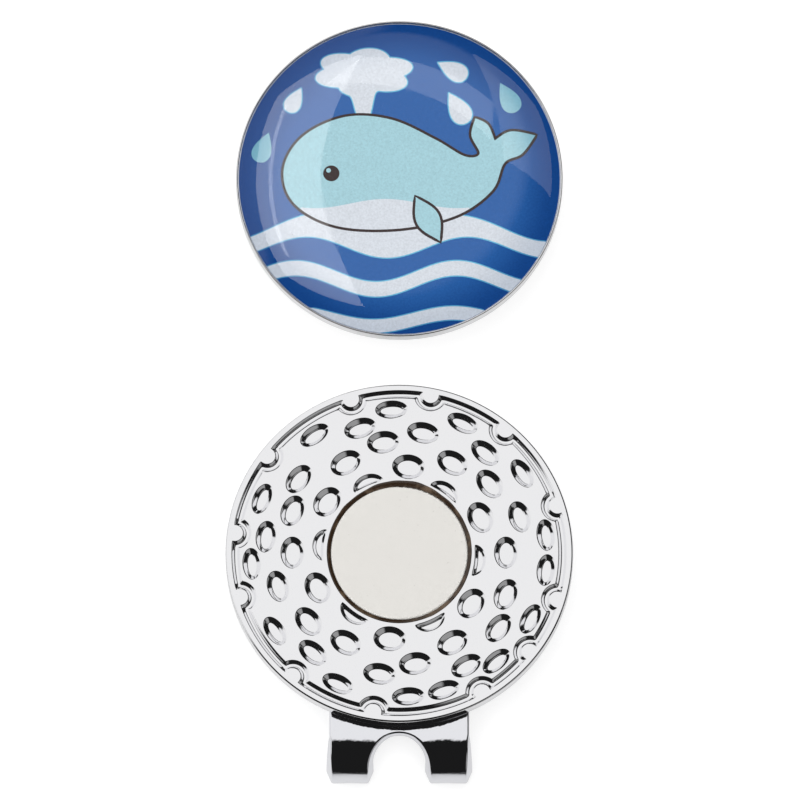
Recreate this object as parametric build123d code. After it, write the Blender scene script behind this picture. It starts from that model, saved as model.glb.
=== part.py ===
from build123d import *
import math
import os

# A golf ball marker with its magnetic hat clip. Millimetres, +Z up. The clip lies on its
# rear leg, the marker lies beyond it along +Y, and the origin is under the middle of both.

# Driving dimensions of the clip.
DISC_RADIUS = 12.7
DISC_THICK = 1.4
RIM_ROUND = 0.2
SHEET = 1.0
CLIP_WIDTH = 10.2
BEND_OUTER = 2.45
BEND_REACH = 13.88       # disc centre to the axis of the U-bend
FLEX_GAP = 10.0          # degrees of bend left open where the rear leg starts
LEG_END = 1.0            # front leg's end, past the disc centre
LEG_CORNER = 2.0
SLOT_WIDTH = 4.2         # gap between the two prongs
SLOT_END = -13.2         # closed end of that gap, from the disc centre
REAR_SLOT_END = -11.8    # its closed end on the rear leg
STUD_RADIUS = 1.0
STUD_CLEARANCE = 0.05
STUD_HEAD_RADIUS = 1.6
STUD_HEAD_THICK = 0.4
STUD_X = 3.0
STUD_Y = -7.2

# Driving dimensions of the magnet and its pocket.
MAGNET_RADIUS = 5.0
MAGNET_THICK = 1.0
MAGNET_ROUND = 0.1
POCKET_RADIUS = 5.35
POCKET_DEPTH = 1.1
GLUE_THICK = 0.05        # under the magnet, so its face ends 0.05 below the disc's front
GLUE_TOP = 0.1           # squeezed-out ring round the magnet, below the disc's front

# Relief on the disc's front: one groove near the rim, and elliptical dimples.
RELIEF_DEPTH = 0.33
WALL_RUN = 0.38          # how far a dimple's wall leans in over its depth
GROOVE_DEPTH = 0.2
GROOVE_OUTER = 12.25
GROOVE_INNER = 11.63
NOTCH_CENTRE = 12.1
NOTCH_SMALL = 0.6
NOTCH_LARGE = 1.22
NOTCH_ANGLES = [17, 50, 79, 107, 143, 173, 196, 230, 261, 300, 322, 343]
DIMPLE_HALF = 1.2        # half a dimple's length, along the rim
COLLAR_RADIUS = 5.52     # plain ring round the magnet, which trims the nearest dimples

# The dimples. They narrow towards the rim, as on a ball seen from the front. Four inner
# rings, each a distance and a first angle, hold six dimples spaced evenly. Round them, one
# dimple lies inside each notch but the last, nearer and farther in turn, and one lies
# midway between each two notches, or a pair after each notch listed here.
DIMPLE_WIDEST = 1.04
BALL_RADIUS = 14.3
INNER_RINGS = [(5.4, 54), (6.5, 24), (7.8, 0), (8.4, 38)]
INNER_COUNT = 6
INSIDE_NOTCH = [9.2, 9.8]
OUTER_RING = 10.8
PAIRED_AFTER = [261, 343]
PAIR_TURN = 7            # degrees from the middle of the gap to each of its pair

# Driving dimensions of the rear leg, as points on the middle of its sheet: distance from
# the disc centre and height. It lies flat, rises to pinch the brim, and turns up at its lip.
TONGUE_FLAT = (-7.0, 0.5)
TONGUE_PINCH = (1.5, 2.6)
TONGUE_LIP = (11.0, 0.46)
TONGUE_TIP = (12.2, 0.85)
TONGUE_BENDS = [8.0, 5.0, 2.0]
TONGUE_END_WIDTH = 8.8
TONGUE_CORNER = 2.5

# Driving dimensions of the marker.
MARKER_RADIUS = 12.0
MARKER_AHEAD = 28.0      # disc centre to marker centre
MARKER_LIFT = 0.03       # marker's back above the disc's front, which it slides over
BASE_THICK = 1.3
BASE_ROUND = 0.2
TRAY_RADIUS = 11.65
TRAY_DEPTH = 0.3
PRINT_RADIUS = 11.6
PRINT_GLUE = 0.06
PRINT_THICK = 0.14
DOME_SIDE = 0.15
DOME_SHOULDER = 2.2      # width of the dome's rounded shoulder
DOME_SHOULDER_RISE = 0.72
DOME_CROWN = 1.1

# Positions that follow from them.
CLIP_FOOT = BEND_REACH + BEND_OUTER
LENGTH = CLIP_FOOT + MARKER_AHEAD + MARKER_RADIUS
DISC_Y = CLIP_FOOT - LENGTH / 2
BEND_Y = DISC_Y - BEND_REACH
MARKER_Y = DISC_Y + MARKER_AHEAD
DISC_BACK = 2 * BEND_OUTER
DISC_FRONT = DISC_BACK + DISC_THICK
POCKET_FLOOR = DISC_FRONT - POCKET_DEPTH
MAGNET_BACK = POCKET_FLOOR + GLUE_THICK
BASE_BACK = DISC_FRONT + MARKER_LIFT
TRAY_FLOOR = BASE_BACK + BASE_THICK - TRAY_DEPTH
PRINT_BACK = TRAY_FLOOR + PRINT_GLUE
DOME_BACK = PRINT_BACK + PRINT_THICK


def plate(radius, x, y, back, thick):
    """A round plate whose back lies at the height back."""
    return Pos(x, y, back + thick / 2) * Cylinder(radius, thick)


def on_disc(distance, angle):
    """A place on the disc's front, with its own X axis pointing out from the centre."""
    return Pos(0, DISC_Y, DISC_FRONT) * Rot(0, 0, angle) * Pos(distance, 0, 0)


def dimple_places():
    """The distance and angle of each dimple's middle."""
    places = []
    for distance, first in INNER_RINGS:
        for i in range(INNER_COUNT):
            places.append((distance, first + 360 / INNER_COUNT * i))
    for i, angle in enumerate(NOTCH_ANGLES[:-1]):
        places.append((INSIDE_NOTCH[i % 2], angle))
    for angle, following in zip(NOTCH_ANGLES, NOTCH_ANGLES[1:] + [NOTCH_ANGLES[0] + 360]):
        middle = (angle + following) / 2
        for turn in [-PAIR_TURN, PAIR_TURN] if angle in PAIRED_AFTER else [0]:
            places.append((OUTER_RING, middle + turn))
    return places


def dimple(distance, angle):
    """The space inside one dimple: an ellipse that shrinks towards its floor."""
    half_width = DIMPLE_WIDEST * math.sqrt(1 - (distance / BALL_RADIUS) ** 2)
    mouth = Ellipse(half_width, DIMPLE_HALF)
    floor = Ellipse(half_width - WALL_RUN, DIMPLE_HALF - WALL_RUN)
    space = loft([mouth.face(), Pos(0, 0, -RELIEF_DEPTH) * floor.face()], ruled=True)
    return on_disc(distance, angle) * space


def dimples():
    """All the dimples' spaces, trimmed by the plain collar round the magnet."""
    collar = plate(COLLAR_RADIUS, 0, DISC_Y, DISC_FRONT - DISC_THICK, 2 * DISC_THICK)
    return [dimple(distance, angle) - collar for distance, angle in dimple_places()]


def notched_disc(radius, notch):
    """A flat disc with a round bite of the given size at each notch."""
    area = Circle(radius)
    for angle in NOTCH_ANGLES:
        area -= Rot(0, 0, angle) * Pos(NOTCH_CENTRE, 0) * Circle(notch)
    return area


def rim_groove():
    """The space of the groove that follows the rim and steps in round each notch."""
    area = notched_disc(GROOVE_OUTER, NOTCH_SMALL) - notched_disc(GROOVE_INNER, NOTCH_LARGE)
    return Pos(0, DISC_Y, DISC_FRONT) * extrude(area, -GROOVE_DEPTH)


def stud(x):
    """One cast stud, peened over on the far side of the clip's front leg."""
    length = SHEET + STUD_HEAD_THICK
    shank = plate(STUD_RADIUS, x, DISC_Y + STUD_Y, DISC_BACK - length, length)
    head = plate(STUD_HEAD_RADIUS, x, DISC_Y + STUD_Y, DISC_BACK - length, STUD_HEAD_THICK)
    return shank + head


def clip_disc():
    """The cast disc with its pocket, its relief and the two studs on its back."""
    body = plate(DISC_RADIUS, 0, DISC_Y, DISC_BACK, DISC_THICK)
    body = fillet(body.edges().filter_by(GeomType.CIRCLE), RIM_ROUND)
    body -= plate(POCKET_RADIUS, 0, DISC_Y, POCKET_FLOOR, DISC_THICK)
    body -= rim_groove()
    body -= dimples()
    return body + stud(-STUD_X) + stud(STUD_X)


def magnet():
    """The disc magnet, a little below the disc's front."""
    body = plate(MAGNET_RADIUS, 0, DISC_Y, MAGNET_BACK, MAGNET_THICK)
    return fillet(body.edges().filter_by(GeomType.CIRCLE), MAGNET_ROUND)


def magnet_glue():
    """The adhesive under the magnet and the ring of it squeezed up round the magnet."""
    filled = plate(POCKET_RADIUS, 0, DISC_Y, POCKET_FLOOR, POCKET_DEPTH - GLUE_TOP)
    return filled - plate(MAGNET_RADIUS, 0, DISC_Y, MAGNET_BACK, MAGNET_THICK)


def slot_cutter():
    """The space between the two prongs, which reaches further in below the bend's axis."""
    space = Part()
    for end, low in ((REAR_SLOT_END, 0), (SLOT_END, BEND_OUTER)):
        centre = DISC_Y + end - SLOT_WIDTH / 2
        run = Pos(0, centre - BEND_OUTER) * Rectangle(SLOT_WIDTH, 2 * BEND_OUTER)
        area = run + Pos(0, centre) * Circle(SLOT_WIDTH / 2)
        space += Pos(0, 0, low) * extrude(area, BEND_OUTER)
    return space


def bend_section():
    """The U-bend's section: a half ring that stops short of the rear leg."""
    ring = Circle(BEND_OUTER) - Circle(BEND_OUTER - SHEET)
    far = 2 * BEND_OUTER
    kept = Pos(-BEND_OUTER, 0) * Rectangle(far, 2 * far)
    gap = math.radians(FLEX_GAP)
    missing = make_face(Polyline((0, 0), (-far * math.tan(gap), -far), (far, -far), (0, 0)))
    return (ring & kept) - missing


def clip_plate():
    """The front leg and the bend of the spring clip."""
    reach = BEND_REACH + LEG_END
    leg = Pos(reach / 2, BEND_OUTER - SHEET / 2) * Rectangle(reach, SHEET)
    section = Plane.YZ * (Pos(BEND_Y, BEND_OUTER) * (bend_section() + leg))
    body = Pos(-CLIP_WIDTH / 2, 0, 0) * extrude(section, CLIP_WIDTH, dir=(1, 0, 0))
    corners = body.edges().filter_by(Axis.Z).group_by(Axis.Y)[-1]
    body = fillet(corners, LEG_CORNER)
    for x in (-STUD_X, STUD_X):
        body -= plate(STUD_RADIUS + STUD_CLEARANCE, x, DISC_Y + STUD_Y, BEND_OUTER, BEND_OUTER)
    return body - slot_cutter()


def tongue_outline():
    """The rear leg seen from above: a taper with two rounded corners at its tip."""
    half = CLIP_WIDTH / 2
    tip_half = TONGUE_END_WIDTH / 2
    start = DISC_Y - BEND_REACH
    tip = DISC_Y + TONGUE_TIP[0]
    corners = [(-half, start), (half, start), (tip_half, tip), (-tip_half, tip)]
    face = make_face(Polyline(*corners, close=True))
    return fillet(face.vertices().sort_by(Axis.Y)[-2:], TONGUE_CORNER)


def clip_tongue():
    """The rear leg, which lies against the hat's lining. Its path overruns, to be cut square."""
    start = (-BEND_REACH, SHEET / 2)
    past = (2 * TONGUE_TIP[0] - TONGUE_LIP[0], 2 * TONGUE_TIP[1] - TONGUE_LIP[1])
    path = FilletPolyline(start, TONGUE_FLAT, TONGUE_PINCH, TONGUE_LIP, past, radius=TONGUE_BENDS)
    section = Plane.YZ * (Pos(DISC_Y, 0) * trace(path, SHEET))
    body = Pos(-CLIP_WIDTH / 2, 0, 0) * extrude(section, CLIP_WIDTH, dir=(1, 0, 0))
    body &= extrude(tongue_outline(), DISC_FRONT)
    return body - slot_cutter()


def marker_base():
    """The steel base, with a shallow tray for the print and the resin."""
    body = plate(MARKER_RADIUS, 0, MARKER_Y, BASE_BACK, BASE_THICK)
    body = fillet(body.edges().filter_by(GeomType.CIRCLE), BASE_ROUND)
    return body - plate(TRAY_RADIUS, 0, MARKER_Y, TRAY_FLOOR, BASE_THICK)


def marker_dome():
    """The clear resin: a low crown with a rounder shoulder, as it sets by surface tension."""
    inner = PRINT_RADIUS - DOME_SHOULDER
    crown_rise = DOME_CROWN - DOME_SIDE - DOME_SHOULDER_RISE
    crown_radius = (inner**2 + crown_rise**2) / (2 * crown_rise)
    lean = math.degrees(math.asin(inner / crown_radius))
    crown = CenterArc((0, DOME_CROWN - crown_radius), crown_radius, 90, -lean)
    side = (PRINT_RADIUS, DOME_SIDE)
    shoulder = TangentArc(crown @ 1, side, tangent=crown % 1)
    foot = Polyline(side, (PRINT_RADIUS, 0), (0, 0), (0, DOME_CROWN))
    section = make_face([crown, shoulder] + foot.edges())
    return Pos(0, MARKER_Y, DOME_BACK) * revolve(Plane.XZ * section, Axis.Z)


PARTS = {
    "clip_disc": clip_disc(),
    "magnet": magnet(),
    "magnet_glue": magnet_glue(),
    "clip_plate": clip_plate(),
    "clip_tongue": clip_tongue(),
    "marker_base": marker_base(),
    "print_glue": plate(PRINT_RADIUS, 0, MARKER_Y, TRAY_FLOOR, PRINT_GLUE),
    "marker_print": plate(PRINT_RADIUS, 0, MARKER_Y, PRINT_BACK, PRINT_THICK),
    "marker_dome": marker_dome(),
}

os.makedirs("parts", exist_ok=True)
for node, shape in PARTS.items():
    export_step(shape, f"parts/{node}.step")
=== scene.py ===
import math

import bmesh
import bpy
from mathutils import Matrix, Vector


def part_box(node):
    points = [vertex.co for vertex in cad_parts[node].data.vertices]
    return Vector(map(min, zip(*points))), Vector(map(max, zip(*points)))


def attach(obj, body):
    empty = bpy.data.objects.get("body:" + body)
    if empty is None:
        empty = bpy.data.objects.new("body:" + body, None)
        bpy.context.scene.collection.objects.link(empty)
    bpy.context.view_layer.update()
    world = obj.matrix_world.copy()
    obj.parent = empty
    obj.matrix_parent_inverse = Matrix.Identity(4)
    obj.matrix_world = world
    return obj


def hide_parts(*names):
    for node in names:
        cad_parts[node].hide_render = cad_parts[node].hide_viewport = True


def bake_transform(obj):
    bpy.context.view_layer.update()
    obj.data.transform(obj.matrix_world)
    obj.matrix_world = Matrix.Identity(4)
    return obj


# A domed golf ball marker and the magnetic hat clip that holds it, seen on a pale table.
# Lengths below are millimetres unless a note says metres, and MM turns them to metres.

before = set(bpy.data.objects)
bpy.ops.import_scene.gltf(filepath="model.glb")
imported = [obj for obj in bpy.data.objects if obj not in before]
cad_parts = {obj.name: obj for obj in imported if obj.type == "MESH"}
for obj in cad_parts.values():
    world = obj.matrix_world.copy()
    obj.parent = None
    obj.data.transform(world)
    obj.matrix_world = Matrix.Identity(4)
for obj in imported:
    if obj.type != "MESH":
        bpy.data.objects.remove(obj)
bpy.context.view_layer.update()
MM = 0.001

# Places, read from the frame.
DISC_LOW, DISC_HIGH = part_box("clip_disc")
BASE_LOW, BASE_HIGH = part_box("marker_base")
DOME_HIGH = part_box("marker_dome")[1]
DISC_CENTRE = Vector(((DISC_LOW.x + DISC_HIGH.x) / 2, (DISC_LOW.y + DISC_HIGH.y) / 2, DISC_HIGH.z))
BASE_CENTRE = Vector(((BASE_LOW.x + BASE_HIGH.x) / 2, (BASE_LOW.y + BASE_HIGH.y) / 2, BASE_LOW.z))

# The clip disc, as in the CAD: heights run down from its front.
DISC_RADIUS = 12.7
DISC_THICK = 1.4
RIM_ROUND = 0.14
POCKET_RADIUS = 5.27
POCKET_DEPTH = 1.1
MAGNET_RADIUS = 5.0
GLUE_THICK = 0.05
SHEET = 1.0
STUD_RADIUS = 1.0
STUD_HEAD_RADIUS = 1.6
STUD_HEAD_THICK = 0.4
STUD_X = 3.0
STUD_Y = -7.2
RELIEF_DEPTH = 0.33
WALL_RUN = 0.38
SLIVER_SHARE = 0.3       # most of a dimple's width that one wall may take
DIMPLE_HALF = 1.2
COLLAR_RADIUS = 5.52     # plain ring round the pocket, where the dimples stop
CORNER_POWER = 14        # how sharp a dimple's corners are where the collar trims it
GROOVE_DEPTH = 0.19
GROOVE_OUTER = 12.25
GROOVE_WIDTH = 0.62
GROOVE_WALL = 0.22       # run of each of the groove's leaning walls
NOTCH_CENTRE = 12.1
NOTCH_SMALL = 0.6
NOTCH_ANGLES = [17, 50, 79, 107, 143, 173, 196, 230, 261, 300, 322, 343]

# The dimples, as on a ball seen from the front. Four inner rings, each a distance and a
# first angle, hold six. One more lies inside each notch but the last, and one midway
# between each two notches, or a pair after each notch listed here.
DIMPLE_WIDEST = 1.04
BALL_RADIUS = 14.3
INNER_RINGS = [(5.4, 54), (6.5, 24), (7.8, 0), (8.4, 38)]
INNER_COUNT = 6
INSIDE_NOTCH = [9.2, 9.8]
OUTER_RING = 10.8
PAIRED_AFTER = [261, 343]
PAIR_TURN = 7

# Flat strip kept round each relief outline, so that the shading of the flats stays flat.
MARGIN = 0.035
CIRCLE_STEPS = 288
DIMPLE_STEPS = 60
NOTCH_STEPS = 22
STUD_STEPS = 48
ARC_STEP = 1.5           # degrees


# ---------------------------------------------------------------- mesh helpers

def add_ring(bm, points):
    """A closed ring of vertices."""
    return [bm.verts.new(point) for point in points]


def bridge(bm, first, second):
    """Quads between two rings of the same length."""
    for i in range(len(first)):
        bm.faces.new((first[i - 1], first[i], second[i], second[i - 1]))


def bridge_all(bm, rings):
    """Quads between each ring and the next."""
    for first, second in zip(rings, rings[1:]):
        bridge(bm, first, second)


def cap(bm, ring, z):
    """A fan of triangles that closes a ring at its centre."""
    middle = sum((v.co for v in ring), Vector()) / len(ring)
    centre = bm.verts.new((middle.x, middle.y, z))
    for i in range(len(ring)):
        bm.faces.new((ring[i - 1], ring[i], centre))


def fill_between(bm, rings):
    """Triangles over the flat area inside the first ring and outside the others."""
    edges = []
    for ring in rings:
        for i in range(len(ring)):
            pair = (ring[i - 1], ring[i])
            edges.append(bm.edges.get(pair) or bm.edges.new(pair))
    bmesh.ops.triangle_fill(bm, use_beauty=True, use_dissolve=False, edges=edges)


def circle(radius, z, steps=CIRCLE_STEPS, x=0.0, y=0.0):
    """Points round a circle."""
    turns = [2 * math.pi * i / steps for i in range(steps)]
    return [(x + radius * math.cos(t), y + radius * math.sin(t), z) for t in turns]


def soft_ramp(t, soft=0.12):
    """From 0 to 1 on an even slope, with both ends rounded off."""
    t = min(max(t, 0.0), 1.0)
    slope = 1 / (1 - soft)
    if t < soft:
        return slope * t * t / (2 * soft)
    if t > 1 - soft:
        return 1 - slope * (1 - t) ** 2 / (2 * soft)
    return slope * (t - soft / 2)


def new_object(bm, name, material, origin, body, sharp=50):
    """An object from a mesh drawn in millimetres about origin, riding on a body."""
    bmesh.ops.recalc_face_normals(bm, faces=bm.faces)
    bmesh.ops.scale(bm, vec=(MM, MM, MM), verts=bm.verts)
    bmesh.ops.translate(bm, vec=origin, verts=bm.verts)
    mesh = bpy.data.meshes.new(name)
    bm.to_mesh(mesh)
    bm.free()
    mesh.shade_smooth()
    mesh.set_sharp_from_angle(angle=math.radians(sharp))
    mesh.materials.append(material)
    obj = bpy.data.objects.new(name, mesh)
    bpy.context.scene.collection.objects.link(obj)
    if body:
        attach(obj, body)
    return obj


# ---------------------------------------------------------------- the clip disc

def groove_ring(inset, z):
    """The groove's notched outline, drawn in by inset from its outer edge."""
    radius = GROOVE_OUTER - inset
    notch = NOTCH_SMALL + inset
    cosine = (radius**2 + NOTCH_CENTRE**2 - notch**2) / (2 * radius * NOTCH_CENTRE)
    half = math.degrees(math.acos(cosine))
    out = math.atan2(radius * math.sin(math.radians(half)), radius * cosine - NOTCH_CENTRE)
    points = []
    for i, angle in enumerate(NOTCH_ANGLES):
        middle = math.radians(angle)
        for k in range(NOTCH_STEPS + 1):
            turn = -out - (2 * math.pi - 2 * out) * k / NOTCH_STEPS
            x = NOTCH_CENTRE * math.cos(middle) + notch * math.cos(middle + turn)
            y = NOTCH_CENTRE * math.sin(middle) + notch * math.sin(middle + turn)
            points.append((x, y, z))
        following = NOTCH_ANGLES[(i + 1) % len(NOTCH_ANGLES)]
        span = (following - angle) % 360
        steps = round(span / ARC_STEP)
        for k in range(1, steps):
            t = math.radians(angle + half + (span - 2 * half) * k / steps)
            points.append((radius * math.cos(t), radius * math.sin(t), z))
    return points


def groove_rings(bm):
    """All rings of the groove, from its outer margin to its inner one."""
    wall = [0, 0.12, 0.25, 0.4, 0.6, 0.75, 0.88, 1]
    down = [(GROOVE_WALL * t, -GROOVE_DEPTH * soft_ramp(t)) for t in wall]
    up = [(GROOVE_WIDTH - into, z) for into, z in reversed(down)]
    profile = [(-MARGIN, 0)] + down + up + [(GROOVE_WIDTH + MARGIN, 0)]
    return [add_ring(bm, groove_ring(inset, z)) for inset, z in profile]


def dimple_ring(distance, half_width, angle, inset, z):
    """One outline of a dimple, drawn in by inset and trimmed by the collar's circle.

    Each point is reached from the middle of what is left of the dimple, by solving
    a quadratic for the distance to its ellipse, and another for that to the collar.
    """
    along, across = half_width - inset, DIMPLE_HALF - inset
    collar = COLLAR_RADIUS + inset
    nearest = max(distance - half_width, COLLAR_RADIUS)
    middle = (nearest + distance + half_width) / 2
    turn = math.radians(angle)
    points = []
    for i in range(DIMPLE_STEPS):
        t = 2 * math.pi * i / DIMPLE_STEPS
        u, v = math.cos(t), math.sin(t)
        a = (u / along) ** 2 + (v / across) ** 2
        b = (middle - distance) * u / along**2
        c = ((middle - distance) / along) ** 2 - 1
        reach = (math.sqrt(b * b - a * c) - b) / a
        inside = (middle * u) ** 2 - (middle**2 - collar**2)
        if distance - half_width < COLLAR_RADIUS - MARGIN and u < 0 and inside > 0:
            hit = -middle * u - math.sqrt(inside)
            reach = (reach**-CORNER_POWER + hit**-CORNER_POWER) ** (-1 / CORNER_POWER)
        x, y = middle + reach * u, reach * v
        points.append((x * math.cos(turn) - y * math.sin(turn),
                       x * math.sin(turn) + y * math.cos(turn), z))
    return points


def dimple_places():
    """The distance and angle of each dimple's middle."""
    places = []
    for distance, first in INNER_RINGS:
        for i in range(INNER_COUNT):
            places.append((distance, first + 360 / INNER_COUNT * i))
    for i, angle in enumerate(NOTCH_ANGLES[:-1]):
        places.append((INSIDE_NOTCH[i % 2], angle))
    for angle, following in zip(NOTCH_ANGLES, NOTCH_ANGLES[1:] + [NOTCH_ANGLES[0] + 360]):
        middle = (angle + following) / 2
        for turn in [-PAIR_TURN, PAIR_TURN] if angle in PAIRED_AFTER else [0]:
            places.append((OUTER_RING, middle + turn))
    return places


def dimple(bm, distance, angle):
    """One dimple's wall and floor, shallower in a sliver. Returns its outermost ring."""
    wall = [0, 0.1, 0.2, 0.32, 0.5, 0.68, 0.8, 0.9, 1]
    half_width = DIMPLE_WIDEST * math.sqrt(1 - (distance / BALL_RADIUS) ** 2)
    span = distance + half_width - max(distance - half_width, COLLAR_RADIUS)
    run = min(WALL_RUN, SLIVER_SHARE * span)
    depth = RELIEF_DEPTH * run / WALL_RUN
    profile = [(-MARGIN, 0)]
    profile += [(run * t, -depth * soft_ramp(t)) for t in wall]
    profile += [(run + MARGIN, -depth)]
    rings = [add_ring(bm, dimple_ring(distance, half_width, angle, *step)) for step in profile]
    bridge_all(bm, rings)
    cap(bm, rings[-1], -depth)
    return rings[0]


def pocket_rings(bm):
    """The magnet's pocket, from the flat round its mouth to its floor."""
    edge = [(0.06, 0), (0.035, 0), (0.02, -0.005), (0.007, -0.018), (0, -0.04)]
    rings = [add_ring(bm, circle(POCKET_RADIUS + out, z)) for out, z in edge]
    rings.append(add_ring(bm, circle(POCKET_RADIUS, -POCKET_DEPTH)))
    bridge_all(bm, rings)
    cap(bm, rings[-1], -POCKET_DEPTH)
    return rings[0]


def stud_rings(bm, x):
    """A stud through the clip, peened to a low head. Returns its ring on the disc's back."""
    back = -DISC_THICK
    under = back - SHEET
    low = under - STUD_HEAD_THICK
    wide = STUD_HEAD_RADIUS
    profile = [(STUD_RADIUS, back), (STUD_RADIUS, under), (wide - 0.05, under)]
    profile += [(wide, under - 0.06), (wide - 0.02, under - 0.16), (wide - 0.14, low + 0.12)]
    profile += [(wide - 0.35, low + 0.04), (wide - 0.7, low)]
    rings = [add_ring(bm, circle(r, z, STUD_STEPS, x, STUD_Y)) for r, z in profile]
    bridge_all(bm, rings)
    cap(bm, rings[-1], low)
    return rings[0]


def rounded_corner(radius, z, size, up, steps=7):
    """Profile points round an outer edge, from its flat to its side."""
    turns = [math.pi / 2 * k / steps for k in range(steps + 1)]
    return [(radius - size + size * math.sin(t), z - up * size * (1 - math.cos(t))) for t in turns]


def build_clip_disc(material):
    """The cast disc: rim, notched groove, dimples, pocket, back and studs, in one mesh."""
    bm = bmesh.new()
    top = [(DISC_RADIUS - RIM_ROUND - MARGIN, 0)] + rounded_corner(DISC_RADIUS, 0, RIM_ROUND, 1)
    bottom = rounded_corner(DISC_RADIUS, -DISC_THICK, RIM_ROUND, -1)
    bottom = [(DISC_RADIUS - RIM_ROUND - MARGIN, -DISC_THICK)] + bottom
    rim = [add_ring(bm, circle(r, z)) for r, z in top + bottom[::-1]]
    bridge_all(bm, rim)
    groove = groove_rings(bm)
    bridge_all(bm, groove)
    fill_between(bm, [rim[0], groove[0]])
    dimples = [dimple(bm, distance, angle) for distance, angle in dimple_places()]
    fill_between(bm, [groove[-1]] + dimples + [pocket_rings(bm)])
    fill_between(bm, [rim[-1], stud_rings(bm, -STUD_X), stud_rings(bm, STUD_X)])
    disc = new_object(bm, "dimpled_disc", material, DISC_CENTRE, "clip")
    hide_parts("clip_disc")
    return disc


def glue_ring(radius, z, spread, lift):
    """A ring of the glue bead, whose radius and height wander by spread and lift.

    The wander is one broad swell on the far side, with three finer ripples.
    """
    points = []
    for i in range(CIRCLE_STEPS):
        t = 2 * math.pi * i / CIRCLE_STEPS
        wander = math.exp(-((t - 1.5) / 0.75) ** 2) + 0.14 * math.sin(5 * t + 0.7)
        wander += 0.1 * math.sin(11 * t) + 0.06 * math.sin(23 * t + 2.0) - 0.15
        r = radius + spread * wander
        points.append((r * math.cos(t), r * math.sin(t), z + lift * wander))
    return points


def build_glue(material):
    """The adhesive: a thin cup under the magnet, with a glossy bead squeezed up round it."""
    bm = bmesh.new()
    lip = POCKET_RADIUS - 0.002
    plain = [(lip, -POCKET_DEPTH), (lip, -0.08)]
    rings = [add_ring(bm, circle(r, z)) for r, z in plain]
    bead = [(lip + 0.03, 0.0, 0.17, 0.0), (lip + 0.01, 0.008, 0.15, 0.004)]
    bead += [(lip - 0.05, 0.002, 0.1, 0.01), (lip - 0.11, -0.02, 0.05, 0.01)]
    bead += [(lip - 0.17, -0.045, 0.0, 0.006), (MAGNET_RADIUS + 0.02, -0.058, -0.05, 0.006)]
    rings += [add_ring(bm, glue_ring(*step)) for step in bead]
    inner = [(MAGNET_RADIUS + 0.005, -0.12), (MAGNET_RADIUS + 0.005, -POCKET_DEPTH + GLUE_THICK)]
    rings += [add_ring(bm, circle(r, z)) for r, z in inner]
    bridge_all(bm, rings)
    cap(bm, rings[0], -POCKET_DEPTH)
    cap(bm, rings[-1], -POCKET_DEPTH + GLUE_THICK)
    glue = new_object(bm, "glue_bead", material, DISC_CENTRE, "clip", 70)
    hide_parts("magnet_glue")


# ---------------------------------------------------------------- the bent clip

# The strip is drawn flat, s along it and u across it, then wrapped round its path.
CLIP_HALF = 5.1
TIP_HALF = 4.4
LEG_END = 1.0            # past the disc centre
LEG_CORNER = 2.0
TIP_CORNER = 2.5
BEND_START = 13.3        # disc centre to where the bend starts
BEND_AHEAD = 2.53        # half its ellipse at mid thickness, along the clip
BEND_MIDDLE = 1.95       # and upright
BEND_HEIGHT = 2.45       # the bend's axis above the table
SLOT_HALF = 2.1
SLOT_END = -13.2
REAR_SLOT_END = -11.8
STRIP_EDGE = 0.14        # rounding of the strip's edges
SADDLE = 0.22            # how much the bend narrows the outside and widens the inside
FLARE = 0.06             # how much it widens a prong as a whole
FLARE_ONSET = 0.5        # power of the bend's sine by which these two set in
CURL = 0.07              # how far a prong's edges stand out beyond its middle, in the bend
CURL_ONSET = 1.5         # power of the bend's sine by which this sets in
CURL_SINK = 0.4          # share of it by which the middle sinks
HOLE_CLEAR = 0.06        # between a stud and its hole
LEG_LENGTH = BEND_START + LEG_END
BEND_LENGTH = math.pi * (BEND_AHEAD + BEND_MIDDLE) / 2
TONGUE_START = LEG_LENGTH + BEND_LENGTH
SEAM = TONGUE_START + 4.0       # where the strip's two pieces meet, in a straight stretch
TONGUE_CORNERS = [(-7.0, 0.5), (1.5, 2.6), (11.0, 0.46)]
TONGUE_BENDS = [8.0, 5.0, 2.0]
TONGUE_TIP = (12.2, 0.85)

# How finely the flat strip is cut before it is bent.
OUTLINE_STEP = 0.8
SLOT_STEP = 0.5
SLOT_TURNS = 24
EDGE_STEPS = 4
BEND_STEPS = 48
BEND_GUARD = 0.08        # one more cut this far outside each end of the bend
REAR_STRAIGHT = 5.0      # start of the rear leg that needs no cuts
REAR_STEP = 0.35
CUT_TOLERANCE = 1e-6

LOOP_SHARE = 0.96        # of a border's width: a point of it nearer than this is in a loop


def tongue_segments():
    """The rear leg's path as runs and arcs: (length, start, direction, turn per millimetre)."""
    points = [(-BEND_START, SHEET / 2)] + TONGUE_CORNERS + [TONGUE_TIP]
    segments = []
    start = Vector(points[0])
    for i, radius in enumerate(TONGUE_BENDS):
        corner, following = Vector(points[i + 1]), Vector(points[i + 2])
        first = (corner - Vector(points[i])).normalized()
        second = (following - corner).normalized()
        turn = math.atan2(first.x * second.y - first.y * second.x, first.dot(second))
        cut = radius * math.tan(abs(turn) / 2)
        entry = corner - first * cut
        segments.append(((entry - start).length, start, first, 0.0))
        segments.append((radius * abs(turn), entry, first, math.copysign(1 / radius, turn)))
        start = corner + second * cut
    segments.append(((Vector(TONGUE_TIP) - start).length, start, second, 0.0))
    return segments


TONGUE = tongue_segments()
STRIP_LENGTH = TONGUE_START + sum(segment[0] for segment in TONGUE)


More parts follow.
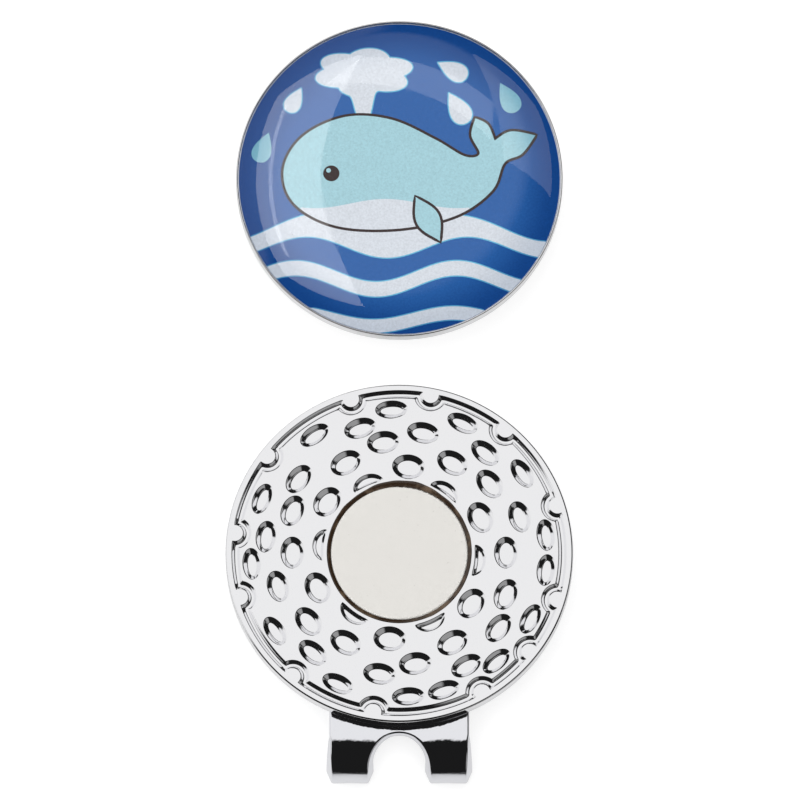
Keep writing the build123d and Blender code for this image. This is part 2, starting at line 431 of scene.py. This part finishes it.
def tongue_point(s, t):
    """Where the rear leg's sheet is, s along it and t out of its middle."""
    for length, start, direction, bend in TONGUE:
        if s <= length or start is TONGUE[-1][1]:
            break
        s -= length
    turn = bend * s
    if bend:
        along, aside = math.sin(turn) / bend, (1 - math.cos(turn)) / bend
    else:
        along, aside = s, 0.0
    left = Vector((-direction.y, direction.x))
    place = start + direction * along + left * aside
    heading = direction * math.cos(turn) + left * math.sin(turn)
    return place.x + t * heading.y, place.y - t * heading.x


def wrap(u, s, t):
    """Takes a point of the flat strip to its place: t is out of the bend."""
    if s <= LEG_LENGTH:
        return u, LEG_END - s, BEND_HEIGHT + BEND_MIDDLE + t
    if s >= TONGUE_START:
        return u, *tongue_point(s - TONGUE_START, t)
    turn = math.pi * (s - LEG_LENGTH) / BEND_LENGTH
    worked = math.sin(turn) ** FLARE_ONSET
    middle = math.copysign((CLIP_HALF + SLOT_HALF) / 2, u)
    aside = (u - middle) / ((CLIP_HALF - SLOT_HALF) / 2)
    u += worked * aside * (FLARE - SADDLE * t / (SHEET / 2))
    outward = Vector((-math.sin(turn) / BEND_AHEAD, math.cos(turn) / BEND_MIDDLE)).normalized()
    outward *= t + CURL * math.sin(turn) ** CURL_ONSET * (aside * aside - CURL_SINK)
    ahead = BEND_START + BEND_AHEAD * math.sin(turn)
    return u, outward.x - ahead, outward.y + BEND_HEIGHT + BEND_MIDDLE * math.cos(turn)


def corner_arc(s, u, radius, start, steps=10):
    """Points round a corner's quarter circle, in the flat strip."""
    turns = [math.radians(start + 90 * k / steps) for k in range(steps + 1)]
    return [(u + radius * math.cos(t), s + radius * math.sin(t)) for t in turns]


def strip_outline():
    """The flat strip's outer edge, counter-clockwise, as (u, s)."""
    end = STRIP_LENGTH
    points = corner_arc(LEG_CORNER, CLIP_HALF - LEG_CORNER, LEG_CORNER, 270)
    points += [(CLIP_HALF, s) for s in (LEG_LENGTH, TONGUE_START)]
    points += corner_arc(end - TIP_CORNER, TIP_HALF - TIP_CORNER, TIP_CORNER, 0)
    mirrored = [(-u, s) for u, s in reversed(points)]
    return points + mirrored


def slot_outline():
    """The slot between the prongs, which reaches further in on the rear leg."""
    start = LEG_END - SLOT_END + SLOT_HALF
    end = TONGUE_START + BEND_START + REAR_SLOT_END - SLOT_HALF
    turns = [math.pi * k / SLOT_TURNS for k in range(SLOT_TURNS + 1)]
    near = [(-SLOT_HALF * math.cos(t), start - SLOT_HALF * math.sin(t)) for t in turns]
    far = [(SLOT_HALF * math.cos(t), end + SLOT_HALF * math.sin(t)) for t in turns]
    return near + far


def hole_outline(u, s, radius, steps=40):
    """A round hole in the flat strip."""
    turns = [2 * math.pi * k / steps for k in range(steps)]
    return [(u + radius * math.cos(t), s + radius * math.sin(t)) for t in turns]


def dense(points, step):
    """The same closed outline with no edge longer than step."""
    result = []
    for (u, s), (u2, s2) in zip(points, points[1:] + points[:1]):
        count = max(1, math.ceil(math.dist((u, s), (u2, s2)) / step))
        result += [(u + (u2 - u) * k / count, s + (s2 - s) * k / count) for k in range(count)]
    return result


def grown(points, amount):
    """A closed counter-clockwise outline moved out by amount."""
    result = []
    for i, (u, s) in enumerate(points):
        before, after = points[i - 1], points[(i + 1) % len(points)]
        run = Vector((after[0] - before[0], after[1] - before[1])).normalized()
        result.append((u + run.y * amount, s - run.x * amount))
    return result


def bordered(points, amount):
    """A closed outline moved out by amount, without the loops this makes in its notches."""
    near = dense(points, amount / 3)
    least = LOOP_SHARE * amount
    return [p for p in grown(points, amount) if min(math.dist(p, q) for q in near) > least]


def strip_edge(bm, outline):
    """The rounded edge all round an outline. Returns its rings on the two faces."""
    half = SHEET / 2
    steps = [math.pi / 2 * k / EDGE_STEPS for k in range(EDGE_STEPS + 1)]
    quarter = [(STRIP_EDGE * (1 - math.sin(t)), STRIP_EDGE * (1 - math.cos(t))) for t in steps]
    upper = [(STRIP_EDGE + MARGIN, half)] + [(into, half - drop) for into, drop in quarter]
    profile = upper + [(into, -height) for into, height in reversed(upper)]
    rings = []
    for into, height in profile:
        ring = grown(outline, -into)
        rings.append(add_ring(bm, [(u, s, height) for u, s in ring]))
    bridge_all(bm, rings)
    return rings[0], rings[-1]


def cut_across(bm, s, direction=1, clear=False):
    """Cuts the flat strip across at s, and may clear what lies beyond in that direction."""
    everything = bm.verts[:] + bm.edges[:] + bm.faces[:]
    return bmesh.ops.bisect_plane(bm, geom=everything, dist=CUT_TOLERANCE, plane_co=(0, s, 0),
                                  plane_no=(0, direction, 0), clear_outer=clear)


def keep_strip(bm, start, end):
    """Keeps the strip between two positions and closes its cut ends."""
    for s, direction in ((start, -1), (end, 1)):
        if 0 < s < STRIP_LENGTH:
            cut = cut_across(bm, s, direction, clear=True)
            edges = [e for e in cut["geom_cut"] if isinstance(e, bmesh.types.BMEdge)]
            bmesh.ops.triangle_fill(bm, use_beauty=True, edges=edges)


def bending_cuts():
    """Where the flat strip is cut across so that it can bend: the bend, then the rear leg."""
    bend = [LEG_LENGTH + BEND_LENGTH * k / BEND_STEPS for k in range(BEND_STEPS + 1)]
    first = TONGUE_START + REAR_STRAIGHT
    rear = [first + REAR_STEP * k for k in range(int((STRIP_LENGTH - first) / REAR_STEP))]
    return [LEG_LENGTH - BEND_GUARD] + bend + [TONGUE_START + BEND_GUARD] + rear


def build_strip(name, start, end, material):
    """One length of the bent strip, with its rounded edges, slot and stud holes."""
    bm = bmesh.new()
    outer = strip_edge(bm, dense(strip_outline(), OUTLINE_STEP))
    slot = strip_edge(bm, dense(slot_outline(), SLOT_STEP)[::-1])
    holes = []
    for x in (-STUD_X, STUD_X):
        hole = hole_outline(x, LEG_END - STUD_Y, STUD_RADIUS + HOLE_CLEAR)
        holes.append(strip_edge(bm, hole[::-1]))
    for side in (0, 1):
        fill_between(bm, [outer[side], slot[side]] + [hole[side] for hole in holes])
    keep_strip(bm, start, end)
    for s in bending_cuts():
        if start < s < end:
            cut_across(bm, s)
    for vert in bm.verts:
        vert.co = wrap(*vert.co)
    origin = Vector((DISC_CENTRE.x, DISC_CENTRE.y, 0))
    return new_object(bm, name, material, origin, None, sharp=60)


def build_clip(material):
    """The front leg, bend and start of the rear leg in one piece, and the rest in another."""
    front = build_strip("clip_spring", 0, SEAM, material)
    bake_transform(front)
    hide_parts("clip_plate")
    rear = build_strip("clip_rear_leg", SEAM, STRIP_LENGTH, material)
    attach(rear, "tongue")
    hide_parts("clip_tongue")


# ---------------------------------------------------------------- the marker

TRAY_RADIUS = 11.85
TRAY_DEPTH = 0.3
PRINT_RADIUS = 11.82
PRINT_GLUE = 0.06
FILM = 0.06
INK = 0.008
INK_LINE = 0.2
INK_END = PRINT_RADIUS - 0.04   # where the waves stop at the rim
FRINGE = 0.09            # width of the cyan round the foam
GROUND_INSET = 0.03
WAVE_LENGTH = 11.8
WAVE_REACH = 14.0        # each way from the print's middle, before clipping
WAVE_STEPS = 120
SWELL_X = -1.2           # middle of the stretch where a band of foam is thicker
SWELL_WIDTH = 4.6
TAIL_START = 6.5         # the whale's belly stays short of this
DOME_SIDE = 0.12
DOME_GAP = INK / 4       # between the film and the resin, so that the two don't touch
DOME_FLAT = 3.2          # higher is flatter in the middle
DOME_SHOULDER = 0.72     # lower is steeper at the rim
DOME_STEPS = 56
TRAY_ROUND = 0.2
TRAY_MARGIN = 0.05
LIP_STEPS = 10


def build_lathe(name, profile, material, origin, body, sharp=50):
    """A closed round piece from profile points, the first and last of which lie on its axis."""
    bm = bmesh.new()
    rings = [add_ring(bm, circle(r, z)) for r, z in profile[1:-1]]
    bridge_all(bm, rings)
    cap(bm, rings[0], profile[0][1])
    cap(bm, rings[-1], profile[-1][1])
    return new_object(bm, name, material, origin, body, sharp)


def build_marker_base(material):
    """The stamped steel tray, with a rolled lip."""
    radius = (BASE_HIGH.x - BASE_LOW.x) / 2 / MM
    thick = (BASE_HIGH.z - BASE_LOW.z) / MM
    lip = (radius - TRAY_RADIUS) / 2
    turns = [math.pi * k / LIP_STEPS for k in range(LIP_STEPS + 1)]
    rolled = [(radius - lip + lip * math.cos(t), thick - lip + lip * math.sin(t)) for t in turns]
    under = [(0, 0), (radius - TRAY_ROUND - TRAY_MARGIN, 0)]
    under += rounded_corner(radius, 0, TRAY_ROUND, -1)
    floor = [(TRAY_RADIUS, thick - TRAY_DEPTH), (0, thick - TRAY_DEPTH)]
    base = build_lathe("steel_tray", under + rolled + floor, material, BASE_CENTRE, "marker")
    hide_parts("marker_base")


def dome_height(r):
    """The resin's surface: nearly flat in the middle, rolling off at its shoulder."""
    share = min(r / PRINT_RADIUS, 1.0)
    return (1 - share**DOME_FLAT) ** DOME_SHOULDER


def build_dome(material, foot):
    """The clear resin, from just above the film to its crown."""
    low = BASE_CENTRE.z / MM + foot
    crown = DOME_HIGH.z / MM - low - DOME_SIDE
    shares = [math.sin(math.pi / 2 * k / DOME_STEPS) for k in range(DOME_STEPS + 1)]
    skin = [(PRINT_RADIUS * x, DOME_SIDE + crown * dome_height(PRINT_RADIUS * x)) for x in shares]
    profile = [(0, 0), (PRINT_RADIUS, 0)] + skin[::-1]
    origin = Vector((BASE_CENTRE.x, BASE_CENTRE.y, low * MM))
    dome = build_lathe("resin_dome", profile, material, origin, "marker", 60)
    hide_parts("marker_dome")
    return dome


def smooth_run(points, steps=10):
    """A smooth curve through the points, without its last one (Catmull-Rom)."""
    ends = [points[0]] + points + [points[-1]]
    result = []
    for i in range(len(points) - 1):
        p0, p1, p2, p3 = (Vector(ends[i + k]) for k in range(4))
        for k in range(steps):
            t = k / steps
            place = 2 * p1 + (p2 - p0) * t + (2 * p0 - 5 * p1 + 4 * p2 - p3) * t * t
            place += (3 * p1 - p0 - 3 * p2 + p3) * t**3
            result.append((place.x / 2, place.y / 2))
    return result


def placed(points, x, y, turn=0, size=1.0):
    """An outline turned, sized and moved."""
    c, s = math.cos(math.radians(turn)) * size, math.sin(math.radians(turn)) * size
    return [(x + px * c - py * s, y + px * s + py * c) for px, py in points]


def teardrop():
    """A drop 2.4 long with its point up."""
    turns = [2 * math.pi * k / 40 for k in range(40)]
    return [(0.95 * math.sin(t) * math.sin(t / 2) ** 1.2, 1.2 * math.cos(t)) for t in turns][::-1]


def leaf(length, width):
    """A leaf along +x from the origin, pointed at both ends."""
    turns = [math.pi * k / 14 for k in range(15)]
    upper = [(length * t / math.pi, width / 2 * math.sin(t) ** 1.2) for t in turns]
    return [(x, -y) for x, y in upper] + upper[-2:0:-1]


def plume():
    """A puff of spray with scalloped edges, on a stem that reaches down."""
    points = []
    for k in range(180):
        t = 2 * math.pi * k / 180
        reach = 0.84 + 0.22 * abs(math.sin(3 * t + 0.5))
        stem = 1.05 * math.exp(-(((t - 1.5 * math.pi) / 0.2) ** 4))
        points.append((3.5 * reach * math.cos(t), 1.75 * (reach + stem) * math.sin(t)))
    return points


def wave(middle, height, half, start, swell=0.0):
    """A band of foam across the print, clipped to it: a cosine that is thicker at its swell."""
    xs = [WAVE_REACH * (2 * k / WAVE_STEPS - 1) for k in range(WAVE_STEPS + 1)]
    line = [middle + height * math.cos(2 * math.pi * (x - start) / WAVE_LENGTH) for x in xs]
    extra = [swell * math.exp(-((x - SWELL_X) / SWELL_WIDTH) ** 2) for x in xs]
    lower = [(x, y - half) for x, y in zip(xs, line)]
    upper = [(x, y + half + e) for x, y, e in zip(xs, line, extra)]
    return clipped(lower + upper[::-1], INK_END)


def clipped(points, radius, sides=240):
    """The part of a closed outline inside a circle, by cutting with each side in turn."""
    for i in range(sides):
        t = 2 * math.pi * i / sides
        nx, ny = math.cos(t), math.sin(t)
        kept = []
        for k, (x, y) in enumerate(points):
            px, py = points[k - 1]
            here, before = radius - (x * nx + y * ny), radius - (px * nx + py * ny)
            if (here >= 0) != (before >= 0):
                share = before / (before - here)
                kept.append((px + (x - px) * share, py + (y - py) * share))
            if here >= 0:
                kept.append((x, y))
        points = kept
    return points


def build_ink(name, outlines, level, material):
    """Closed patches of ink with no overlaps, standing level steps above the film."""
    bm = bmesh.new()
    top = FILM + INK * level
    for outline in outlines:
        lower = add_ring(bm, [(x, y, FILM / 2) for x, y in outline])
        upper = add_ring(bm, [(x, y, top) for x, y in outline])
        bridge(bm, lower, upper)
        for ring in (lower, upper):
            fill_between(bm, [ring])
    origin = BASE_CENTRE + Vector((0, 0, BASE_HIGH.z - BASE_LOW.z))
    origin.z += (PRINT_GLUE - TRAY_DEPTH) * MM
    ink = new_object(bm, name, material, origin, "marker", 30)
    return ink


# A plain whale, as three smooth runs that meet at the tips and the notch of its tail.
WHALE_RUNS = [
    [(5.6, 4.6), (6.5, 4.1), (7.0, 2.9)],
    [(7.0, 2.9), (8.2, 3.6), (10.0, 3.3)],
    [(10.0, 3.3), (9.0, 1.9), (7.7, 1.2), (6.8, -0.9), (4.2, -2.8), (0.0, -3.8), (-4.6, -3.6),
     (-7.7, -1.9), (-8.5, 0.7), (-7.1, 3.2), (-4.0, 4.7), (-0.6, 4.5), (2.6, 3.0), (4.8, 1.7),
     (5.9, 1.9), (5.3, 3.3), (5.6, 4.6)],
]


def belly_line(x):
    """Height of the edge between the whale's back and its white belly."""
    return -1.9 + 0.35 * math.cos(0.6 * (x + 1))


def belly(body):
    """The part of the whale below the belly line."""
    lower = [p for p in body if p[1] < belly_line(p[0]) and p[0] < TAIL_START]
    left = min(p[0] for p in lower)
    right = max(p[0] for p in lower)
    xs = [right + (left - right) * k / 40 for k in range(41)]
    return lower + [(x, belly_line(x)) for x in xs]


def build_print(colours):
    """The printed disc: film, blue ground, foam, drops and a plain whale, in layers of ink."""
    turns = [2 * math.pi * k / CIRCLE_STEPS for k in range(CIRCLE_STEPS)]
    disc = [(PRINT_RADIUS * math.cos(t), PRINT_RADIUS * math.sin(t)) for t in turns]
    dot = [(math.cos(t), math.sin(t)) for t in turns[::6]]
    film = build_ink("print_film", [disc], 0, colours["white"])
    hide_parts("marker_print")
    build_ink("ink_ground", [grown(disc, -GROUND_INSET)], 1, colours["blue"])
    white = [wave(-4.6, 0.8, 0.6, 5.0, 2.0), wave(-7.6, 0.8, 0.55, 4.2), wave(-10.7, 0.5, 0.5, 4.0)]
    white += [placed(plume(), -2.6, 8.1), placed(teardrop(), -7.7, 6.0, -28, 0.85)]
    white += [placed(teardrop(), 3.9, 8.3, 62), placed(teardrop(), 4.3, 5.4, 30, 1.1)]
    pale = [placed(teardrop(), 8.0, 6.2, 28, 1.05), placed(teardrop(), -10.0, 2.4, -20, 1.0)]
    fringe = [clipped(bordered(outline, FRINGE), INK_END) for outline in white]
    build_ink("ink_fringe", fringe, 2, colours["fringe"])
    build_ink("ink_foam", white, 3, colours["white"])
    build_ink("ink_pale_drops", pale, 3, colours["pale"])
    body = [point for run in WHALE_RUNS for point in smooth_run(run)][::-1]
    fin = placed(leaf(3.8, 1.7), 1.2, -1.4, -62)
    build_ink("ink_outline", [bordered(body, INK_LINE)], 4, colours["line"])
    build_ink("ink_whale", [body], 5, colours["pale"])
    build_ink("ink_belly", [belly(body)], 6, colours["white"])
    eye = placed(dot, -5.0, 0.4, size=0.6)
    build_ink("ink_fin_outline", [bordered(fin, INK_LINE), eye], 7, colours["line"])
    build_ink("ink_fin", [fin, placed(dot, -5.2, 0.62, size=0.17)], 8, colours["pale"])


# ---------------------------------------------------------------- materials

METAL_BUMP_SCALE = 1.7          # finer than the noise of its polish by this factor
MOTTLED_BUMP_SCALE = 1.5
GRAIN_SCALE = 7000
EDGE_SHADE_START = 8.0                # from the print's middle to where the painted shade towards its edge starts
EDGE_SHADE_END = 11.7


def new_material(name):
    """A material, its node tree and its main shader."""
    material = bpy.data.materials.new(name)
    material.use_nodes = True
    return material, material.node_tree, material.node_tree.nodes["Principled BSDF"]


def add_node(tree, kind, **values):
    """A node, with its named inputs set to plain values."""
    node = tree.nodes.new(kind)
    for key, value in values.items():
        if hasattr(node, key):
            setattr(node, key, value)
        else:
            node.inputs[key.replace("_", " ")].default_value = value
    return node


def ramp(tree, value, low, high, at_low, at_high, kind="SMOOTHSTEP"):
    """A step from one number to another as value goes from low to high."""
    step = add_node(tree, "ShaderNodeMapRange", interpolation_type=kind)
    for index, number in enumerate((low, high, at_low, at_high)):
        step.inputs[index + 1].default_value = number
    tree.links.new(value, step.inputs["Value"])
    return step.outputs["Result"]


def two_colours(tree, first, second, factor):
    """A colour mixed from two by a factor."""
    blend = add_node(tree, "ShaderNodeMix", data_type="RGBA")
    blend.inputs["A"].default_value = (*first, 1)
    blend.inputs["B"].default_value = (*second, 1)
    tree.links.new(factor, blend.inputs["Factor"])
    return blend.outputs["Result"]


def for_rays(tree, kind, others, these):
    """One number for a kind of ray and another for the rest: plain ones or sockets."""
    rays = add_node(tree, "ShaderNodeLightPath")
    choice = add_node(tree, "ShaderNodeMix", data_type="FLOAT")
    tree.links.new(rays.outputs[kind], choice.inputs["Factor"])
    for key, value in (("A", others), ("B", these)):
        if isinstance(value, float):
            choice.inputs[key].default_value = value
        else:
            tree.links.new(value, choice.inputs[key])
    return choice.outputs["Result"]


def noise_value(tree, scale, detail, low, high, to_low=0.0, to_high=1.0):
    """Noise in the object's own space, stretched between two values."""
    place = add_node(tree, "ShaderNodeTexCoord")
    noise = add_node(tree, "ShaderNodeTexNoise", Scale=scale, Detail=detail)
    tree.links.new(place.outputs["Object"], noise.inputs["Vector"])
    return ramp(tree, noise.outputs["Fac"], low, high, to_low, to_high, "LINEAR")


def add_bump(tree, shader, scale, distance):
    """Fine unevenness of a surface."""
    bump = add_node(tree, "ShaderNodeBump", Strength=1.0, Distance=distance)
    tree.links.new(noise_value(tree, scale, 3, 0, 1), bump.inputs["Height"])
    tree.links.new(bump.outputs["Normal"], shader.inputs["Normal"])


def metal(name, colour, roughness, scale, bump):
    """Plated metal with a slightly uneven polish."""
    material, tree, shader = new_material(name)
    shader.inputs["Base Color"].default_value = (*colour, 1)
    shader.inputs["Metallic"].default_value = 1.0
    rough = noise_value(tree, scale, 6, 0.35, 0.65, *roughness)
    tree.links.new(rough, shader.inputs["Roughness"])
    add_bump(tree, shader, METAL_BUMP_SCALE * scale, bump)
    return material


def ink_colour(name, middle, edge):
    """Printed ink: fine grain, and painted shade: a darker colour towards the print's edge, for the
    darkening under the dome's shoulder.
    """
    material, tree, shader = new_material(name)
    place = add_node(tree, "ShaderNodeTexCoord")
    reach = add_node(tree, "ShaderNodeVectorMath", operation="DISTANCE")
    reach.inputs[1].default_value = (BASE_CENTRE.x, BASE_CENTRE.y, BASE_HIGH.z)
    tree.links.new(place.outputs["Object"], reach.inputs[0])
    # Painted shade: the ink turns darker towards the print's rim, as it looks under the dome's
    # shoulder.
    edge_shade = ramp(tree, reach.outputs["Value"], EDGE_SHADE_START * MM, EDGE_SHADE_END * MM, 0.0, 1.0)
    blend = two_colours(tree, middle, edge, edge_shade)
    grain = add_node(tree, "ShaderNodeMix", data_type="RGBA", blend_type="MULTIPLY")
    grain.inputs["Factor"].default_value = 1.0
    shade = add_node(tree, "ShaderNodeCombineColor")
    value = noise_value(tree, GRAIN_SCALE, 2, 0.25, 0.75, 0.9, 1.1)
    for channel in ("Red", "Green", "Blue"):
        tree.links.new(value, shade.inputs[channel])
    tree.links.new(blend, grain.inputs["A"])
    tree.links.new(shade.outputs["Color"], grain.inputs["B"])
    tree.links.new(grain.outputs["Result"], shader.inputs["Base Color"])
    shader.inputs["Roughness"].default_value = 0.6
    shader.inputs["Specular IOR Level"].default_value = 0.0
    return material


def clear_resin():
    """Clear resin: seen through, and mirroring lamps by Fresnel on its outer side."""
    material, tree, shader = new_material("clear_resin")
    tree.nodes.remove(shader)
    facing = add_node(tree, "ShaderNodeNewGeometry")
    outside = add_node(tree, "ShaderNodeMath", operation="SUBTRACT")
    outside.inputs[0].default_value = 1.0
    tree.links.new(facing.outputs["Backfacing"], outside.inputs[1])
    fresnel = add_node(tree, "ShaderNodeFresnel", IOR=1.5)
    share = add_node(tree, "ShaderNodeMath", operation="MULTIPLY")
    tree.links.new(fresnel.outputs["Fac"], share.inputs[0])
    tree.links.new(outside.outputs["Value"], share.inputs[1])
    through = add_node(tree, "ShaderNodeBsdfTransparent")
    gloss = add_node(tree, "ShaderNodeBsdfGlossy")
    tree.links.new(noise_value(tree, 500, 3, 0.35, 0.65, 0.01, 0.05), gloss.inputs["Roughness"])
    choose = add_node(tree, "ShaderNodeMixShader")
    tree.links.new(share.outputs["Value"], choose.inputs["Fac"])
    tree.links.new(through.outputs["BSDF"], choose.inputs[1])
    tree.links.new(gloss.outputs["BSDF"], choose.inputs[2])
    output = tree.nodes["Material Output"]
    tree.links.new(choose.outputs["Shader"], output.inputs["Surface"])
    return material


def mottled(name, light, dark, scale, low, high, roughness, metallic, bump):
    """A surface whose colour wanders between two tones, with a little unevenness."""
    material, tree, shader = new_material(name)
    wander = noise_value(tree, scale, 5, low, high)
    tree.links.new(two_colours(tree, light, dark, wander), shader.inputs["Base Color"])
    tree.links.new(noise_value(tree, scale, 2, 0.3, 0.7, *roughness), shader.inputs["Roughness"])
    shader.inputs["Metallic"].default_value = metallic
    add_bump(tree, shader, MOTTLED_BUMP_SCALE * scale, bump)
    return material


CHROME = metal("chrome_plating", (0.90, 0.90, 0.915),
               roughness=(0.03, 0.09), scale=900, bump=0.000002)
SPRING_CHROME = metal("chrome_on_spring_steel", (0.84, 0.845, 0.88),
                      roughness=(0.03, 0.08), scale=420, bump=0.00003)
STEEL = metal("plated_steel", (0.82, 0.82, 0.83),
              roughness=(0.1, 0.22), scale=1500, bump=0.000003)
NICKEL = mottled("satin_nickel", (0.85, 0.83, 0.79), (0.5, 0.48, 0.44), scale=5200, low=0.71,
                 high=0.8, roughness=(0.36, 0.5), metallic=0.3, bump=0.000003)
GLUE = mottled("set_adhesive", (0.030, 0.017, 0.009), (0.13, 0.085, 0.05), scale=900, low=0.5,
               high=0.72, roughness=(0.12, 0.3), metallic=0.0, bump=0.00001)
# Each ink's second colour is the same ink made darker, painted shade for the print's rim under the
# dome's shoulder.
INKS = {
    "blue": ink_colour("ink_blue", (0.024, 0.115, 0.37), (0.007, 0.052, 0.22)),
    "white": ink_colour("ink_white", (0.66, 0.70, 0.76), (0.5, 0.55, 0.63)),
    "pale": ink_colour("ink_pale_blue", (0.36, 0.60, 0.67), (0.12, 0.34, 0.46)),
    "fringe": ink_colour("ink_cyan_fringe", (0.14, 0.48, 0.68), (0.06, 0.25, 0.45)),
    "line": ink_colour("ink_dark_line", (0.035, 0.02, 0.02), (0.02, 0.015, 0.015)),
}

build_clip_disc(CHROME)
build_glue(GLUE)
build_clip(SPRING_CHROME)
build_marker_base(STEEL)
build_print(INKS)
tray_floor = (BASE_HIGH.z - BASE_LOW.z) / MM - TRAY_DEPTH
dome = build_dome(clear_resin(), tray_floor + PRINT_GLUE + FILM + DOME_GAP)
for node, material in (("magnet", NICKEL), ("print_glue", GLUE)):
    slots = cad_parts[node].data.materials
    slots.clear()
    slots.append(material)


# ---------------------------------------------------------------- stage, light and camera

FLOOR_HALF = 1500
GLOW = 0.68              # of the table near the object
FAR_GLOW = 0.1
GLOW_FADE = (0.04, 0.4)  # metres from the origin
MIRRORED = 0.5           # share of the table's glow that the metal mirrors, near the object
MIRROR_FADE = (0.029, 0.06)     # metres from the origin
TABLE_TONE = 0.45
FAR_TONE = 0.06          # what the metal mirrors of the table's colour, further away


def build_floor():
    """A pale table that glows a little near the object, so that its shadows stay faint."""
    bm = bmesh.new()
    bmesh.ops.create_grid(bm, x_segments=1, y_segments=1, size=FLOOR_HALF)
    material, tree, shader = new_material("pale_table")
    shader.inputs["Roughness"].default_value = 0.9
    shader.inputs["Specular IOR Level"].default_value = 0.1
    shader.inputs["Emission Color"].default_value = (1, 1, 1, 1)
    place = add_node(tree, "ShaderNodeTexCoord")
    reach = add_node(tree, "ShaderNodeVectorMath", operation="LENGTH")
    tree.links.new(place.outputs["Object"], reach.inputs[0])
    away = reach.outputs["Value"]
    glow = ramp(tree, away, *GLOW_FADE, GLOW, FAR_GLOW)
    mirrored = ramp(tree, away, *MIRROR_FADE, GLOW * MIRRORED, 0.0)
    strength = for_rays(tree, "Is Glossy Ray", glow, mirrored)
    tree.links.new(strength, shader.inputs["Emission Strength"])
    tone = ramp(tree, away, *MIRROR_FADE, TABLE_TONE, FAR_TONE)
    tint = for_rays(tree, "Is Glossy Ray", TABLE_TONE, tone)
    tree.links.new(tint, shader.inputs["Base Color"])
    floor = new_object(bm, "floor", material, Vector((0, 0, 0)), None)


# Soft boxes of the studio: direction, the cosines of the angles from it at which the box
# starts and is at its full brightness, and that brightness.
PANELS = [
    ((-0.12, 0.40, 0.91), 0.89, 0.93, 0.92),
    ((-0.80, 0.52, 0.30), 0.60, 0.70, 0.88),
    ((0.95, 0.10, 0.30), 0.95, 0.98, 0.35),
    ((0.68, -0.68, 0.26), 0.86, 0.95, 0.32),
]
ROOM = 0.012             # brightness of the rest of the studio
BACKDROP = 0.52          # brightness that the camera sees behind the table


def build_world():
    """A dark studio with soft boxes overhead and on three sides, and a pale backdrop."""
    world = bpy.data.worlds.new("studio")
    bpy.context.scene.world = world
    world.use_nodes = True
    tree = world.node_tree
    background = tree.nodes["Background"]
    place = add_node(tree, "ShaderNodeTexCoord")
    total = None
    for direction, edge, full, brightness in PANELS:
        dot = add_node(tree, "ShaderNodeVectorMath", operation="DOT_PRODUCT")
        dot.inputs[1].default_value = Vector(direction).normalized()
        tree.links.new(place.outputs["Generated"], dot.inputs[0])
        value = ramp(tree, dot.outputs["Value"], edge, full, 0.0, brightness)
        add = add_node(tree, "ShaderNodeMath", operation="MAXIMUM")
        add.inputs[0].default_value = ROOM
        tree.links.new(value, add.inputs[1])
        if total:
            tree.links.new(total, add.inputs[0])
        total = add.outputs["Value"]
    background.inputs["Color"].default_value = (1, 1, 1, 1)
    seen = for_rays(tree, "Is Camera Ray", total, BACKDROP)
    tree.links.new(seen, background.inputs["Strength"])


# Soft boxes that only the dome mirrors, each hung a little below the one before: place and
# size as shares of the first one's height, turn in degrees, and brightness.
BOX_HEIGHT = 0.35        # metres
BOX_DROP = 0.01          # from each to the next, as a share of that height
DOME_BOXES = [
    ((-0.31, 0.27), (0.40, 0.84), 0, 3.6),
    ((0.03, 0.50), (0.38, 0.15), -28, 2.2),
    ((0.50, 0.56), (0.50, 0.60), -10, 1.5),
    ((-0.34, 0.27), (0.03, 0.5), 0, 4.0),
]


def build_dome_boxes(dome):
    """Lamps whose light is linked to the dome alone."""
    receivers = bpy.data.collections.new("dome_only")
    receivers.objects.link(dome)
    for i, ((x, y), (width, depth), turn, brightness) in enumerate(DOME_BOXES):
        lamp = bpy.data.lights.new(f"soft_box_{i}", "AREA")
        lamp.shape = "RECTANGLE"
        lamp.size = width * BOX_HEIGHT
        lamp.size_y = depth * BOX_HEIGHT
        lamp.energy = brightness * math.pi * lamp.size * lamp.size_y
        box = bpy.data.objects.new(f"soft_box_{i}", lamp)
        box.location = BASE_CENTRE + Vector((x, y, 1 - BOX_DROP * i)) * BOX_HEIGHT
        box.rotation_euler = (0, 0, math.radians(turn))
        box.light_linking.receiver_collection = receivers
        bpy.context.scene.collection.objects.link(box)


KEY_POWER = 2.3
KEY_SPREAD = 50          # degrees
KEY_TILT = 10


def build_key():
    """A wide overhead lamp that whitens the table and isn't mirrored by the chrome."""
    lamp = bpy.data.lights.new("overhead", "SUN")
    lamp.energy = KEY_POWER
    lamp.angle = math.radians(KEY_SPREAD)
    key = bpy.data.objects.new("overhead", lamp)
    key.rotation_euler = (math.radians(KEY_TILT), 0, 0)
    key.visible_glossy = False
    bpy.context.scene.collection.objects.link(key)


VIEW_ELEVATION = 75.6    # degrees
CAMERA_DISTANCE = 1.0    # metres
FRAME_WIDTH = 58.6 * MM
AIM_X = 0.05
AIM_Y = -0.32
SENSOR = 36.0            # millimetres of the camera's own


def build_camera():
    """Nearly overhead, from the side of the clip's prongs."""
    camera = bpy.data.cameras.new("camera")
    camera.sensor_width = SENSOR
    camera.lens = SENSOR * CAMERA_DISTANCE / FRAME_WIDTH
    tilt = math.radians(VIEW_ELEVATION)
    aim = Vector((AIM_X * MM, AIM_Y * MM, DISC_HIGH.z))
    obj = bpy.data.objects.new("camera", camera)
    obj.location = aim + CAMERA_DISTANCE * Vector((0, -math.cos(tilt), math.sin(tilt)))
    obj.rotation_euler = (math.pi / 2 - tilt, 0, 0)
    bpy.context.scene.collection.objects.link(obj)
    bpy.context.scene.camera = obj


bpy.context.scene.view_settings.view_transform = "Standard"
build_floor()
build_world()
build_key()
build_dome_boxes(dome)
build_camera()
